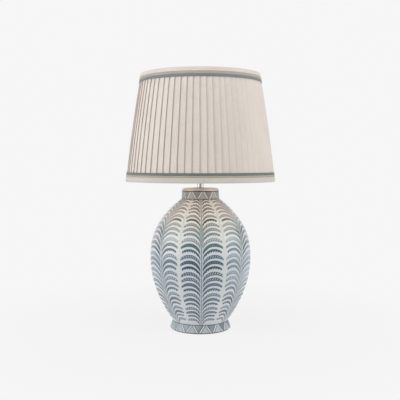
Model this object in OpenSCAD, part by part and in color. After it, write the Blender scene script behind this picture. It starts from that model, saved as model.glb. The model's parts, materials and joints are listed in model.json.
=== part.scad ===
// Table lamp: a glazed ceramic vase on a foot ring, a metal neck cap and stem,
// a screw lampholder with a push-bar switch, and a pleated fabric shade that turns on it.
// Millimetres. The origin is the centre of the resting face, +Z is up, and the front is -Y.

/* [Vase] */
// Height of the ceramic lip above the table
vase_h = 330.5; // [315:0.5:345]
// Largest radius of the body
belly_r = 120; // [105:0.5:135]
// Height of the widest point above the table
belly_z = 171; // [150:1:190]
// Radius of the neck where it leaves the shoulder
neck_r = 45; // [44:0.1:54]
// Height of the straight neck band under the lip
neck_h = 19.2; // [12:0.2:22]
// How much the neck draws in from the shoulder to the lip
neck_draft = 0.8; // [0:0.1:2]
// How full the shoulder is: a higher power is fuller
shoulder_power = 2.44; // [2:0.02:3.2]
// How full the lower body is
lower_power = 2; // [1.8:0.02:2.6]
// Radius of the waist where the body meets the foot ring
waist_r = 66.4; // [64:0.1:76]
// Height of the foot ring from the table to the waist
foot_h = 20.6; // [19.5:0.1:26]
// Radius of the foot ring near its lower edge
foot_r = 72.8; // [70:0.1:80]
// Rounding of the foot ring's lower edge
foot_round = 2; // [1:0.1:3]
// Thickness of the ceramic wall
wall = 6; // [4:0.1:8]
// Thickness of the ceramic floor
floor_t = 7; // [5:0.5:10]
// Radius of the hole in the floor for the threaded rod
floor_hole_r = 6.5; // [6:0.1:9]

/* [Base fittings] */
// Thickness of the felt under the foot
felt_t = 1.2; // [0.8:0.1:2]
// How far the felt stays inside the edge of the foot's flat
felt_inset = 0.8; // [0.5:0.1:2]
// Outer radius of the threaded rod
rod_r = 5; // [4.5:0.1:5.5]
// Radius of the bore in the rod
rod_bore_r = 3.5; // [3:0.1:4]
// Thread that shows past the base nut
rod_tail = 1.2; // [0.5:0.1:2]
// Thickness of the cork washer under the floor
cork_t = 2; // [1:0.1:2.5]
// Radius of the cork washer
cork_r = 30; // [20:1:50]
// Thickness of the steel washer
washer_t = 2; // [1.5:0.1:2.5]
// Radius of the steel washer
washer_r = 27; // [20:1:45]
// Width across the flats of the two hexagon nuts
nut_af = 17; // [15:0.5:19]
// Height of the base nut
base_nut_h = 6; // [5:0.5:8]
// Height of the cable exit's axis above the table
cable_z = 10.4; // [9.8:0.1:11.4]
// Radius of the hole that the cable runs through
cable_bore_r = 3.5; // [3:0.1:4]
// Wall of the rubber grommet's sleeve
grommet_wall = 1.4; // [1:0.1:1.8]
// How far the grommet's flanges reach past its sleeve
grommet_lip = 1.8; // [1:0.1:2.2]
// Thickness of the grommet's flanges
grommet_flange_t = 1.6; // [1:0.1:2.5]

/* [Neck cap and stem] */
// Thickness of the gasket between the lip and the cap
gasket_t = 0.8; // [0.5:0.1:1.5]
// Height of the cap above its gasket
cap_h = 5.4; // [5:0.1:12]
// Width of the cap's rounded edge, seen from above
cap_edge_w = 10; // [6:0.5:18]
// Height of the cap's upright edge below the rounding
cap_edge_h = 0.8; // [0.4:0.1:2]
// Thickness of the cap's plate
cap_plate_t = 2.2; // [1.5:0.1:3]
// Depth of the ring that centres the cap in the neck
cap_spigot_h = 5; // [3:0.5:10]
// Wall of that ring
cap_spigot_t = 1.6; // [1:0.1:2.5]
// Radius of the nickel stem
stem_r = 7; // [6.5:0.1:9]
// Height of the stem between the cap and the stem nut
stem_h = 17.3; // [12:0.1:40]
// Height of the nut that locks the lampholder
stem_nut_h = 4; // [3:0.5:6]

/* [Lampholder] */
// Outer radius of the lampholder
holder_r = 20; // [19.5:0.1:22]
// Wall of the lampholder's housings
holder_wall = 2.2; // [1.8:0.1:2.6]
// Radius of the foot of the lampholder, where the rod screws in
entry_r = 12; // [11:0.5:14]
// Length of the screwed entry
entry_h = 8; // [6:0.5:10]
// Height of the lower housing
holder_cap_h = 22; // [20:0.5:28]
// Depth of the seat that holds the insulator in the lower housing
core_seat = 3; // [2:0.5:4]
// Height of the insulator
core_h = 10; // [8:0.5:14]
// Height of the threaded skirt
skirt_h = 38; // [36:0.5:45]
// Thickness of the skirt's top rim
rim_t = 3; // [2:0.5:4]
// Pitch of the outside thread
skirt_pitch = 2.5; // [2:0.1:3]
// Depth of the outside thread
skirt_thread = 0.6; // [0.4:0.1:0.8]
// Inner radius of the brass screw shell at its crests
shell_r = 13.6; // [13.5:0.05:13.9]
// Thickness of the shell's sheet
shell_t = 0.5; // [0.4:0.1:0.6]
// Height of the screw shell
shell_h = 26; // [24:0.5:27]
// Pitch of the lamp thread
lamp_pitch = 3.6; // [3.5:0.1:3.7]
// Depth of the lamp thread
lamp_thread = 0.5; // [0.4:0.05:0.55]
// Height of the centre contact
contact_h = 2.4; // [1.5:0.1:3]
// Radius of the terminal screws' shanks
terminal_r = 1.5; // [1.2:0.1:2]
// Distance of the terminal screws from the axis
terminal_offset = 9; // [8:0.5:11]

/* [Switch] */
// Width of the push bar
bar_w = 6; // [4:0.5:8]
// Height of the push bar
bar_h = 4; // [3:0.5:5]
// Travel of the push bar
bar_travel = 6; // [3:0.5:8]
// Radius of the buttons at the bar's ends
button_r = 4.5; // [4:0.1:6]
// Thickness of the buttons
button_t = 3; // [2:0.5:5]

/* [Bulb] */
// Overall length of the bulb
bulb_length = 110; // [100:1:125]
// Largest radius of the bulb
bulb_r = 30; // [27:0.5:33]
// Radius of the screw cap over its thread
bulb_cap_r = 13.05; // [12.9:0.05:13.1]
// Height of the screw cap
bulb_cap_h = 21; // [20:0.5:22]
// Height of the black glass insulator
bulb_insulator_h = 4; // [3:0.5:5]
// Height of the solder tip
bulb_tip_h = 2; // [1.5:0.5:2.5]
// Height of the plastic collar
bulb_collar_h = 15.4; // [14:0.2:22]
// Radius of the glass where it meets the collar
bulb_neck_r = 17; // [16:0.5:19]
// Thickness of the glass
glass_t = 1; // [0.8:0.1:1.4]

/* [Shade rings] */
// Height of the skirt under the lower shade ring
ring_seat = 6; // [4:0.5:10]
// Thickness of the lower shade ring
lower_ring_t = 4; // [3:0.5:6]
// Thickness of the upper shade ring
upper_ring_t = 5; // [3:0.5:7]
// Radius of both shade rings
shade_ring_r = 27.5; // [26:0.5:29]
// Grip notches round each shade ring
ring_notches = 20; // [12:1:24]
// Thickness of the shade's fitting ring
fitting_t = 2; // [1.5:0.1:3]
// Outer radius of the fitting ring
fitting_r = 30; // [30:0.5:34]

/* [Shade] */
// Radius of the shade's bottom edge
shade_bottom_r = 178; // [160:1:200]
// Radius of the shade's top edge
shade_top_r = 141.8; // [120:0.2:160]
// Height of the shade
shade_h = 252.6; // [220:0.2:280]
// How far the bottom edge hangs below the fitting ring
shade_drop = 37.6; // [34:0.2:60]
// How far the sides bow outwards at mid-height
shade_bow = 2.5; // [1:0.1:5]
// Number of knife pleats
pleats = 66; // [48:2:72]
// Height of each pleat's step
pleat_depth = 2.3; // [1:0.1:2.6]
// Share of a pleat by which the first fold lies past the X axis
pleat_start = 0.33; // [0:0.01:1]
// Thickness of the pleated cloth
cloth_t = 0.5; // [0.4:0.1:0.8]
// Thickness of the lining
lining_t = 0.4; // [0.3:0.1:0.8]
// Thickness of the binding and the ribbons
trim_t = 0.8; // [0.5:0.1:1.2]
// Width of the cream binding at the bottom edge
bottom_binding_w = 11.9; // [9:0.1:16]
// Width of the olive ribbon at the bottom
bottom_olive_w = 4.5; // [3:0.1:7]
// Width of the blue ribbon at the bottom
bottom_blue_w = 5.5; // [3:0.1:9]
// Width of the cream binding at the top edge
top_binding_w = 9; // [8:0.1:14]
// Width of the olive ribbon at the top
top_olive_w = 6.4; // [3:0.1:8]
// Width of the blue ribbon at the top
top_blue_w = 5.9; // [3:0.1:10]
// Radius of the wire in the top and bottom rings
ring_wire_r = 1.9; // [1.5:0.1:2.2]
// Radius of the wire in the struts
strut_r = 1.25; // [1:0.05:1.6]
// Number of struts
struts = 6; // [6:3:9]
// Radius of the wire in the arms
arm_r = 1.75; // [1.5:0.05:2]
// Number of arms that carry the shade
arms = 3; // [3:1:4]

/* [Clearances] */
// Clearance between pieces that are fixed to each other
fit = 0.15; // [0.1:0.01:0.2]
// Clearance between pieces that move on each other
run = 0.3; // [0.2:0.05:0.4]

/* [Hidden] */

// Fineness of the curves
round_fn = 96;
curve_steps = 22;
arc_step = 15;
tiny = 0.01;

// Heights up the vase
neck_z = vase_h - neck_h;
lip_r = neck_r - neck_draft;
floor_z = foot_h;
floor_top = floor_z + floor_t;
base_r = waist_r - wall;
rod_clear_r = rod_r + fit;

// The stack under the floor
cork_z = floor_z - cork_t;
washer_z = cork_z - washer_t;
base_nut_z = washer_z - base_nut_h;
rod_bottom = base_nut_z - rod_tail;
nut_r = nut_af / 2 / cos(30);

// The stack above the lip
cap_z = vase_h + gasket_t;
cap_top = cap_z + cap_h;
cap_r = lip_r - fit;
spigot_r = lip_r - wall - run;
stem_top = cap_top + stem_h;
holder_z = stem_top + stem_nut_h;
rod_top = holder_z + entry_h;
skirt_z = holder_z + holder_cap_h;
skirt_top = skirt_z + skirt_h;
core_z = skirt_z - core_seat;
core_top = core_z + core_h;
core_r = holder_r - holder_wall - fit;
chamber_r = holder_r - 2 * holder_wall;
rim_bore_r = shell_r + 1.7;
shell_floor_r = 6;
contact_r = shell_floor_r - 1.5;
contact_tip_r = 2.5;
wire_hole_r = 1.8;

// The bulb, from its tip up
bulb_z = core_top + contact_h + fit;
insulator_z = bulb_z + bulb_tip_h;
screw_cap_z = insulator_z + bulb_insulator_h;
collar_z = screw_cap_z + bulb_cap_h;
globe_z = collar_z + bulb_collar_h;
bulb_top = bulb_z + bulb_length;
tip_r = 2.8;
insulator_r = 6;

// The switch bar runs across the lower housing, above the end of the rod
bar_z = rod_top + 1 + bar_h / 2;
bar_left = holder_r + 1 + bar_travel;
bar_right = holder_r + 1;

// The shade rings and the fitting ring between them
lower_ring_z = skirt_z + ring_seat;
fitting_z = lower_ring_z + lower_ring_t + run;
upper_ring_z = fitting_z + fitting_t + run;
ring_bore_r = holder_r + fit;
fitting_bore_r = holder_r + run;

// The shade's layers, from the outside in
shade_z = fitting_z - shade_drop;
shade_top = shade_z + shade_h;
trim_gap = 0.1;
cover_z = shade_z + trim_t + fit;
cover_top = shade_top - trim_t - fit;
layers_t = trim_t + trim_gap + pleat_depth + cloth_t;
pleat_angle = 360 / pleats;
bottom_wire_z = cover_z + ring_wire_r;
top_wire_z = cover_top - ring_wire_r;
bottom_wire_r = wire_centre_r(bottom_wire_z);
top_wire_r = wire_centre_r(top_wire_z);
cover_levels = 4;

// Radius of the outermost surface of the shade at a height: a cone with a shallow bow
function shade_share(z) = (z - shade_z) / shade_h;
function shade_r(z) =
    shade_bottom_r + (shade_top_r - shade_bottom_r) * shade_share(z)
    + 4 * shade_bow * shade_share(z) * (1 - shade_share(z));
function crest_r(z) = shade_r(z) - trim_t - trim_gap;
function valley_r(z) = crest_r(z) - pleat_depth;
function cover_inner_r(z) = valley_r(z) - cloth_t;
function wire_centre_r(z) = cover_inner_r(z) * cos(pleat_angle / 2) - fit - ring_wire_r;

// Radius of the straight lining, which touches the two wire rings from inside
function lining_r(z) =
    bottom_wire_r
    + (top_wire_r - bottom_wire_r) * (z - bottom_wire_z) / (top_wire_z - bottom_wire_z)
    - ring_wire_r - 2 * fit;

// Outline of the vase: two power curves that meet at the belly
function lower_body_r(z) =
    belly_r - (belly_r - waist_r) * pow((belly_z - z) / (belly_z - foot_h), lower_power);
function upper_body_r(z) =
    belly_r - (belly_r - neck_r) * pow((z - belly_z) / (neck_z - belly_z), shoulder_power);
function lerp(a, b, share) = a + (b - a) * share;
body_curve = concat(
    [for (i = [0 : curve_steps])
        let (z = lerp(foot_h, belly_z, i / curve_steps)) [lower_body_r(z), z]],
    [for (i = [1 : curve_steps])
        let (z = lerp(belly_z, neck_z, i / curve_steps)) [upper_body_r(z), z]]
);
last = len(body_curve) - 1;

// A point of the body moved inwards by the wall, square to the curve
function inner_point(i) =
    let (
        before = body_curve[max(i - 1, 0)],
        after = body_curve[min(i + 1, last)],
        along = (after - before) / norm(after - before)
    ) body_curve[i] + wall * [-along[1], along[0]];
inner_curve = [
    for (i = [last : -1 : 0]) let (p = inner_point(i)) if (p[1] > floor_top + 2) p
];

// Quarter of an ellipse round a centre, between two angles
function arc(centre, across, up, from, to) = [
    for (a = [from : arc_step * sign(to - from) : to])
        centre + [across * cos(a), up * sin(a)]
];

// Radius of the foot ring's flared side
function foot_side_r(z) = lerp(foot_r, waist_r, (z - felt_t - foot_round) / (foot_h - felt_t - foot_round));

// Rings of a thread, as points up a wall
function thread_points(r, depth, pitch, z, height) = [
    for (i = [0 : floor(height / pitch) - 1], side = [0 : 3])
        [r - (side == 0 || side == 3 ? depth : 0), z + pitch * (i + [0.1, 0.4, 0.6, 0.9][side])]
];

module turned(points) {
    rotate_extrude($fn = round_fn) polygon(points);
}

module ring(inner, outer, height) {
    difference() {
        cylinder(r = outer, h = height, $fn = round_fn);
        translate([0, 0, -1]) cylinder(r = inner, h = height + 2, $fn = round_fn);
    }
}

module hex_nut(height) {
    difference() {
        cylinder(r = nut_r, h = height, $fn = 6);
        translate([0, 0, -1]) cylinder(r = rod_clear_r, h = height + 2, $fn = round_fn);
    }
}

// The ceramic: foot ring, body, neck and the floor that the rod pulls on
module vase_body() {
    color("lightsteelblue")
        difference() {
            turned(concat(
                [[floor_hole_r, floor_z], [base_r, floor_z], [base_r, felt_t]],
                arc([foot_r - foot_round, felt_t + foot_round], foot_round, foot_round, -90, 0),
                body_curve,
                [[lip_r, vase_h], [lip_r - wall, vase_h], [neck_r - wall, neck_z - wall / 2]],
                inner_curve,
                [[lower_body_r(floor_top) - 1.15 * wall, floor_top], [floor_hole_r, floor_top]]
            ));
            cable_hole(cable_bore_r + grommet_wall + fit);
        }
}

// A hole through the back of the foot ring
module cable_hole(r) {
    translate([0, base_r - 5, cable_z])
        rotate([-90, 0, 0])
            cylinder(r = r, h = foot_r - base_r + 12, $fn = round_fn);
}

module felt_pad() {
    color("dimgray")
        cylinder(r = foot_r - foot_round - felt_inset, h = felt_t, $fn = round_fn);
}

// The foot ring's envelope, which the grommet's outer flange sits on
module foot_envelope(extra) {
    turned([
        [0, felt_t - 1],
        [foot_side_r(felt_t - 1) + extra, felt_t - 1],
        [foot_side_r(foot_h) + extra, foot_h],
        [0, foot_h]
    ]);
}

module cable_grommet() {
    sleeve_r = cable_bore_r + grommet_wall;
    flange_r = sleeve_r + grommet_lip;
    outer_y = foot_side_r(cable_z) + grommet_flange_t;
    inner_y = base_r - grommet_flange_t;
    color("white")
        difference() {
            union() {
                translate([0, inner_y, cable_z])
                    rotate([-90, 0, 0])
                        cylinder(r = sleeve_r, h = outer_y - inner_y, $fn = round_fn);
                difference() {
                    translate([0, base_r, cable_z])
                        rotate([-90, 0, 0])
                            cylinder(r = flange_r, h = outer_y - base_r, $fn = round_fn);
                    foot_envelope(fit);
                }
                intersection() {
                    translate([0, inner_y, cable_z])
                        rotate([-90, 0, 0])
                            cylinder(r = flange_r, h = grommet_flange_t * 2, $fn = round_fn);
                    cylinder(r = base_r - fit, h = foot_h, $fn = round_fn);
                }
            }
            translate([0, inner_y - 1, cable_z])
                rotate([-90, 0, 0])
                    cylinder(r = cable_bore_r, h = outer_y - inner_y + 2, $fn = round_fn);
        }
}

module cork_washer() {
    color("peru")
        translate([0, 0, cork_z]) ring(rod_clear_r, cork_r, cork_t);
}

module steel_washer() {
    color("silver")
        translate([0, 0, washer_z]) ring(rod_clear_r, washer_r, washer_t);
}

module base_nut() {
    color("silver")
        translate([0, 0, base_nut_z]) hex_nut(base_nut_h);
}

module threaded_rod() {
    color("silver")
        translate([0, 0, rod_bottom]) ring(rod_bore_r, rod_r, rod_top - rod_bottom);
}

module neck_gasket() {
    color("dimgray")
        translate([0, 0, vase_h]) ring(spigot_r + fit, cap_r - 1, gasket_t);
}

// A turned cap with a rounded edge, a plate and a ring that centres it in the neck
module neck_cap() {
    plate_z = cap_top - cap_plate_t;
    spigot_z = vase_h - cap_spigot_h;
    color("tan")
        turned(concat(
            [[rod_clear_r, plate_z], [spigot_r - cap_spigot_t, plate_z]],
            [[spigot_r - cap_spigot_t, spigot_z], [spigot_r, spigot_z], [spigot_r, cap_z]],
            [[cap_r, cap_z]],
            arc([cap_r - cap_edge_w, cap_z + cap_edge_h], cap_edge_w, cap_h - cap_edge_h, 0, 90),
            [[rod_clear_r, cap_top]]
        ));
}

module stem_tube() {
    color("gainsboro")
        translate([0, 0, cap_top]) ring(rod_clear_r, stem_r, stem_h);
}

module stem_nut() {
    color("gainsboro")
        translate([0, 0, stem_top]) hex_nut(stem_nut_h);
}

// Lower housing: a dome with the screwed entry and the switch bar's two slots
module lampholder_base() {
    dome_h = holder_cap_h - core_seat - 3;
    color("white")
        difference() {
            turned(concat(
                [[rod_clear_r, holder_z], [entry_r, holder_z]],
                arc([entry_r, holder_z + 2 + dome_h], holder_r - entry_r, dome_h, -90, 0),
                [[holder_r, skirt_z], [holder_r - holder_wall, skirt_z]],
                [[holder_r - holder_wall, core_z], [chamber_r, core_z]],
                [[chamber_r, rod_top], [rod_clear_r, rod_top]]
            ));
            translate([0, 0, bar_z])
                cube([2 * holder_r + 4, bar_w + 2 * run, bar_h + 2 * run], center = true);
        }
}

// The push bar with a button on each end; pressing one end sends the other out
module switch_bar() {
    color("ivory")
        union() {
            translate([-bar_left - tiny, -bar_w / 2, bar_z - bar_h / 2])
                cube([bar_left + bar_right + 2 * tiny, bar_w, bar_h]);
            translate([-bar_left - button_t, 0, bar_z])
                rotate([0, 90, 0]) cylinder(r = button_r, h = button_t, $fn = round_fn);
            translate([bar_right, 0, bar_z])
                rotate([0, 90, 0]) cylinder(r = button_r, h = button_t, $fn = round_fn);
        }
}

module lampholder_skirt() {
    inner_r = holder_r - holder_wall;
    color("white")
        turned(concat(
            [[inner_r, skirt_z], [holder_r - skirt_thread, skirt_z]],
            thread_points(holder_r, skirt_thread, skirt_pitch, skirt_z, skirt_h - rim_t),
            [[holder_r - skirt_thread, skirt_top], [rim_bore_r, skirt_top]],
            [[rim_bore_r, skirt_top - rim_t], [inner_r, skirt_top - rim_t]]
        ));
}

module lampholder_core() {
    color("whitesmoke")
        difference() {
            translate([0, 0, core_z]) cylinder(r = core_r, h = core_h, $fn = round_fn);
            for (side = [-1, 1]) {
                translate([side * terminal_offset, 0, core_z - 1])
                    cylinder(r = terminal_r + fit, h = core_h / 2 + 1, $fn = 48);
                translate([0, side * terminal_offset, core_z - 1])
                    cylinder(r = wire_hole_r, h = core_h + 2, $fn = 48);
            }
        }
}

// The threaded brass shell, with a floor that has a hole for the centre contact
module screw_shell() {
    outer = thread_points(shell_r + shell_t + lamp_thread, lamp_thread, lamp_pitch,
                          core_top + shell_t, shell_h - 2);
    inner = thread_points(shell_r + lamp_thread, lamp_thread, lamp_pitch,
                          core_top + shell_t, shell_h - 2);
    color("goldenrod")
        turned(concat(
            [[shell_floor_r, core_top], [shell_r + shell_t, core_top]],
            outer,
            [[shell_r + shell_t, core_top + shell_h], [shell_r, core_top + shell_h]],
            [for (i = [len(inner) - 1 : -1 : 0]) inner[i]],
            [[shell_r, core_top + shell_t], [shell_floor_r, core_top + shell_t]]
        ));
}

module centre_contact() {
    plate_t = contact_h / 4;
    color("goldenrod")
        translate([0, 0, core_top])
            union() {
                cylinder(r = contact_r, h = plate_t, $fn = 48);
                cylinder(r = contact_tip_r, h = contact_h, $fn = 48);
            }
}

module terminal_screws() {
    head_h = 1.4 * terminal_r;
    head_r = 1.9 * terminal_r;
    slot_w = 0.5 * terminal_r;
    color("goldenrod")
        for (side = [-1, 1])
            translate([side * terminal_offset, 0, core_z])
                difference() {
                    union() {
                        cylinder(r = terminal_r, h = core_h / 2 - 0.5, $fn = 48);
                        translate([0, 0, -head_h])
                            cylinder(r = head_r, h = head_h, $fn = 48);
                    }
                    translate([0, 0, -head_h])
                        cube([3 * head_r, slot_w, head_h], center = true);
                }
}

// A threaded ring with grip notches round its edge
module notched_ring(height) {
    notch_r = 1.2;
    difference() {
        ring(ring_bore_r, shade_ring_r, height);
        for (i = [0 : ring_notches - 1])
            rotate([0, 0, i * 360 / ring_notches])
                translate([shade_ring_r + notch_r / 2, 0, -1])
                    cylinder(r = notch_r, h = height + 2, $fn = 24);
    }
}

module lower_shade_ring() {
    color("white")
        translate([0, 0, lower_ring_z]) notched_ring(lower_ring_t);
}

module upper_shade_ring() {
    color("white")
        translate([0, 0, upper_ring_z]) notched_ring(upper_ring_t);
}

module bulb_tip() {
    color("silver")
        translate([0, 0, bulb_z])
            cylinder(r1 = tip_r - 1, r2 = tip_r, h = bulb_tip_h, $fn = 48);
}

module bulb_insulator() {
    color("black")
        translate([0, 0, insulator_z])
            cylinder(r1 = insulator_r, r2 = bulb_cap_r - 1.5, h = bulb_insulator_h, $fn = 96);
}

module bulb_screw_cap() {
    root_r = bulb_cap_r - lamp_thread;
    color("silver")
        turned(concat(
            [[0, screw_cap_z], [bulb_cap_r - 1.5, screw_cap_z], [root_r, screw_cap_z + 1]],
            thread_points(bulb_cap_r, lamp_thread, lamp_pitch, screw_cap_z + 1, bulb_cap_h - 2),
            [[root_r, collar_z], [0, collar_z]]
        ));
}

module bulb_collar() {
    flare_z = skirt_top + 1;
    color("white")
        turned([
            [0, collar_z], [bulb_cap_r, collar_z], [bulb_cap_r + 0.5, flare_z],
            [bulb_neck_r, globe_z - 3], [bulb_neck_r, globe_z], [0, globe_z]
        ]);
}

module led_board() {
    color("khaki")
        translate([0, 0, globe_z])
            cylinder(r = bulb_neck_r - glass_t - 2, h = 1.6, $fn = round_fn);
}

// The glass: most of a sphere on a neck that widens into it
module bulb_globe() {
    centre_z = bulb_top - bulb_r;
    join = 40;
    join_r = bulb_r * cos(join);
    join_z = centre_z - bulb_r * sin(join);
    steps = 6;
    neck = [
        for (i = [0 : steps - 1])
            [lerp(bulb_neck_r, join_r, pow(i / steps, 2.5)), lerp(globe_z, join_z, i / steps)]
    ];
    ball = [for (a = [-join : 10 : 80]) [bulb_r * cos(a), centre_z + bulb_r * sin(a)]];
    inner_ball = [
        for (a = [80 : -10 : -join])
            [(bulb_r - glass_t) * cos(a), centre_z + (bulb_r - glass_t) * sin(a)]
    ];
    color("white", 0.6)
        turned(concat(
            neck, ball, [[0, bulb_top]], [[0, bulb_top - glass_t]], inner_ball,
            [for (i = [steps - 1 : -1 : 0]) neck[i] - [glass_t, 0]]
        ));
}

// The steel ring that rests between the two shade rings
module fitting_ring() {
    color("white")
        translate([0, 0, fitting_z]) ring(fitting_bore_r, fitting_r, fitting_t);
}

// One straight wire in the plane of the axis, between two points given as radius and height
module wire(from, to, r) {
    length = norm(to - from);
    tilt = atan2(to[0] - from[0], to[1] - from[1]);
    translate([from[0], 0, from[1]])
        rotate([0, tilt, 0])
            cylinder(r = r, h = length, $fn = 48);
}

arm_from = [fitting_r, fitting_z + fitting_t / 2];
arm_to = [bottom_wire_r, bottom_wire_z];
arm_along = (arm_to - arm_from) / norm(arm_to - arm_from);

// All the arms; with a larger radius it cuts the ways that they take through the cloth
module arm_set(r, gap) {
    for (i = [0 : arms - 1])
        rotate([0, 0, 90 + i * 360 / arms])
            wire(arm_from + gap * arm_along, arm_to - (ring_wire_r + gap) * arm_along, r);
}

module shade_arms() {
    color("white") arm_set(arm_r, fit);
}

module wire_ring(r, z) {
    color("white")
        translate([0, 0, z])
            rotate_extrude($fn = round_fn) translate([r, 0]) circle(r = ring_wire_r, $fn = 48);
}

module bottom_wire_ring() {
    wire_ring(bottom_wire_r, bottom_wire_z);
}

module top_wire_ring() {
    wire_ring(top_wire_r, top_wire_z);
}

// Each strut is an arc from ring to ring with the shade's bow
module shade_struts() {
    foot = [bottom_wire_r, bottom_wire_z];
    head = [top_wire_r, top_wire_z];
    chord = norm(head - foot);
    bend_r = (chord * chord / 4 + shade_bow * shade_bow) / (2 * shade_bow);
    half = asin((chord / 2 - ring_wire_r - fit) / bend_r);
    lean = atan2(foot[0] - head[0], head[1] - foot[1]);
    middle = (foot + head) / 2;
    color("white")
        for (i = [0 : struts - 1])
            rotate([0, 0, 90 + i * 360 / struts])
                translate([middle[0], 0, middle[1]])
                    rotate([0, -lean, 0])
                        translate([shade_bow - bend_r, 0, 0])
                            rotate([90, 0, 0])
                                rotate([0, 0, -half])
                                    rotate_extrude(angle = 2 * half, $fn = round_fn)
                                        translate([bend_r, 0]) circle(r = strut_r, $fn = 48);
}

module shade_lining() {
    color("ivory")
        difference() {
            turned([
                [lining_r(cover_z) - lining_t, cover_z], [lining_r(cover_z), cover_z],
                [lining_r(cover_top), cover_top], [lining_r(cover_top) - lining_t, cover_top]
            ]);
            for (drop = [0, ring_wire_r]) translate([0, 0, -drop]) arm_set(arm_r + run, 0);
        }
}

// Knife pleats, folded anticlockwise seen from above: from each valley the cloth rises
// to the crest at the next fold, and there it steps back in to the next valley.
// Three points a pleat and level: the crest, the valley under it and the inner face.
module pleated_cover() {
    function turn(i) = (i + pleat_start) * pleat_angle;
    function at(r, i, z) = [r * cos(turn(i)), r * sin(turn(i)), z];
    levels = [for (k = [0 : cover_levels]) lerp(cover_z, cover_top, k / cover_levels)];
    points = [
        for (z = levels, i = [0 : pleats - 1])
            each [at(crest_r(z), i, z), at(valley_r(z), i, z), at(cover_inner_r(z), i, z)]
    ];
    function crest(k, i) = 3 * (k * pleats + i % pleats);
    function valley(k, i) = crest(k, i) + 1;
    function inner(k, i) = crest(k, i) + 2;
    sides = [
        for (k = [0 : cover_levels - 1], i = [0 : pleats - 1])
            each [
                [valley(k, i), valley(k + 1, i), crest(k + 1, i + 1)],
                [valley(k, i), crest(k + 1, i + 1), crest(k, i + 1)],
                [crest(k, i), crest(k + 1, i), valley(k + 1, i)],
                [crest(k, i), valley(k + 1, i), valley(k, i)],
                [inner(k, i), inner(k + 1, i + 1), inner(k + 1, i)],
                [inner(k, i), inner(k, i + 1), inner(k + 1, i + 1)]
            ]
    ];
    top = cover_levels;
    ends = [
        for (i = [0 : pleats - 1])
            each [
                [valley(0, i), crest(0, i + 1), valley(0, i + 1)],
                [inner(0, i), valley(0, i), valley(0, i + 1)],
                [inner(0, i), valley(0, i + 1), inner(0, i + 1)],
                [valley(top, i), valley(top, i + 1), crest(top, i + 1)],
                [inner(top, i), valley(top, i + 1), valley(top, i)],
                [inner(top, i), inner(top, i + 1), valley(top, i + 1)]
            ]
    ];
    color("linen") polyhedron(points, concat(sides, ends), convexity = 4);
}

// The binding wraps the edge: an outer leg, the fold and an inner leg over the lining
function binding_inner_r(z) = lining_r(z) - lining_t - fit;

module bottom_binding() {
    high = shade_z + bottom_binding_w;
    fold = shade_z + trim_t;
    color("linen")
        difference() {
            turned([
                [binding_inner_r(shade_z) - trim_t, shade_z], [shade_r(shade_z), shade_z],
                [shade_r(high), high], [shade_r(high) - trim_t, high],
                [shade_r(fold) - trim_t, fold], [binding_inner_r(fold), fold],
                [binding_inner_r(high), high], [binding_inner_r(high) - trim_t, high]
            ]);
            arm_set(arm_r + run, 0);
        }
}

module top_binding() {
    low = shade_top - top_binding_w;
    fold = shade_top - trim_t;
    color("linen")
        turned([
            [binding_inner_r(shade_top) - trim_t, shade_top],
            [binding_inner_r(low) - trim_t, low], [binding_inner_r(low), low],
            [binding_inner_r(fold), fold], [shade_r(fold) - trim_t, fold],
            [shade_r(low) - trim_t, low], [shade_r(low), low], [shade_r(shade_top), shade_top]
        ]);
}

// A ribbon laid round the pleats between two heights
module ribbon(low, high) {
    turned([
        [shade_r(low) - trim_t, low], [shade_r(low), low],
        [shade_r(high), high], [shade_r(high) - trim_t, high]
    ]);
}

bottom_olive_z = shade_z + bottom_binding_w;
bottom_blue_z = bottom_olive_z + bottom_olive_w;
top_olive_z = shade_top - top_binding_w - top_olive_w;
top_blue_z = top_olive_z - top_blue_w;

module bottom_olive_ribbon() {
    color("darkkhaki") ribbon(bottom_olive_z, bottom_blue_z);
}

module bottom_blue_ribbon() {
    color("slategray") ribbon(bottom_blue_z, bottom_blue_z + bottom_blue_w);
}

module top_olive_ribbon() {
    color("darkkhaki") ribbon(top_olive_z, top_olive_z + top_olive_w);
}

module top_blue_ribbon() {
    color("slategray") ribbon(top_blue_z, top_olive_z);
}

vase_body();
felt_pad();
cable_grommet();
cork_washer();
steel_washer();
base_nut();
threaded_rod();
neck_gasket();
neck_cap();
stem_tube();
stem_nut();
lampholder_base();
switch_bar();
lampholder_skirt();
lampholder_core();
screw_shell();
centre_contact();
terminal_screws();
lower_shade_ring();
upper_shade_ring();
bulb_tip();
bulb_insulator();
bulb_screw_cap();
bulb_collar();
led_board();
bulb_globe();
fitting_ring();
shade_arms();
bottom_wire_ring();
top_wire_ring();
shade_struts();
shade_lining();
pleated_cover();
bottom_binding();
bottom_olive_ribbon();
bottom_blue_ribbon();
top_binding();
top_olive_ribbon();
top_blue_ribbon();
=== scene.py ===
# %% [markdown]
# A table lamp with a painted vase and a pleated shade.
# It was first drawn in OpenSCAD as 39 named solids, and that model is loaded here as a fixed frame.
# Blender gives it its looks. A solid that has the right shape already only gets a finish, and a piece that
# needs a finer surface, such as the vase or the pleats, is worked out again with numpy.
# All lengths below are in metres unless a name ends in _mm or _MM.

import json
import math
from functools import partialmethod

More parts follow.
